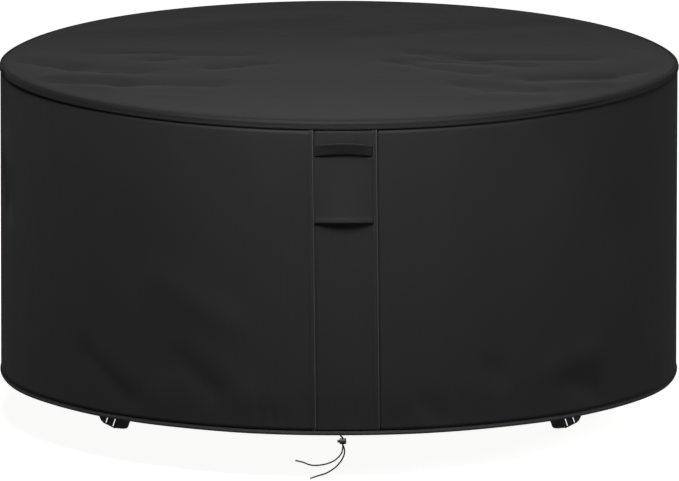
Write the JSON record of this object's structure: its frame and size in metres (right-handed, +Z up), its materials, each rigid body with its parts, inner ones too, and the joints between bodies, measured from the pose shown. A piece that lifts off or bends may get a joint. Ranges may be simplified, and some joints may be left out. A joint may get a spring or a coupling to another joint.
{
  "type": "round fitted patio furniture cover",
  "caption": "Round fitted cloth cover with a flat top, straight wall, vented front strip, webbing handle, drawcord hem with a spring cord lock, and buckled leg straps.",
  "frame": {"origin": "under the middle of the top panel, on its inner face, where the covered table carries it", "axes": "+Z up along the wall, -Y towards the strip with the handle and the cord lock, +X to the right of someone who looks at that strip"},
  "size_m": [1.5284, 1.5386, 0.8167],
  "materials": {
    "woven_polyester": "black plain-weave coated polyester, soft satin sheen",
    "seam_tape": "black folded seam tape, stitched",
    "hem_tape": "charcoal folded hem tape",
    "webbing": "black ribbed polyester webbing",
    "moulded_plastic": "black moulded acetal, satin gloss",
    "drawcord": "black braided polyester cord"
  },
  "bodies": {
    "cover": {"top_panel": "woven_polyester", "rim_binding": "seam_tape", "wall_panel": "woven_polyester", "front_strip": "woven_polyester", "seam_welt_left": "seam_tape", "seam_welt_right": "seam_tape", "hem_casing": "hem_tape", "handle_strap": "webbing", "vent_flap": "woven_polyester", "drawcord_front": "drawcord", "drawcord_back": "drawcord", "lock_barrel": "moulded_plastic", "leg_strap_left": "webbing", "buckle_left_socket": "moulded_plastic", "buckle_left_plug": "moulded_plastic", "leg_strap_right": "webbing", "buckle_right_socket": "moulded_plastic", "buckle_right_plug": "moulded_plastic"},
    "plunger": {"lock_plunger": "moulded_plastic"}
  },
  "joints": [
    {"name": "plunger_press", "type": "slide", "parent": "cover", "child": "plunger", "axis": [1, 0, 0], "range_m": [0, 0.003], "stiffness_N_per_m": 400, "springref_m": -0.002}
  ]
}
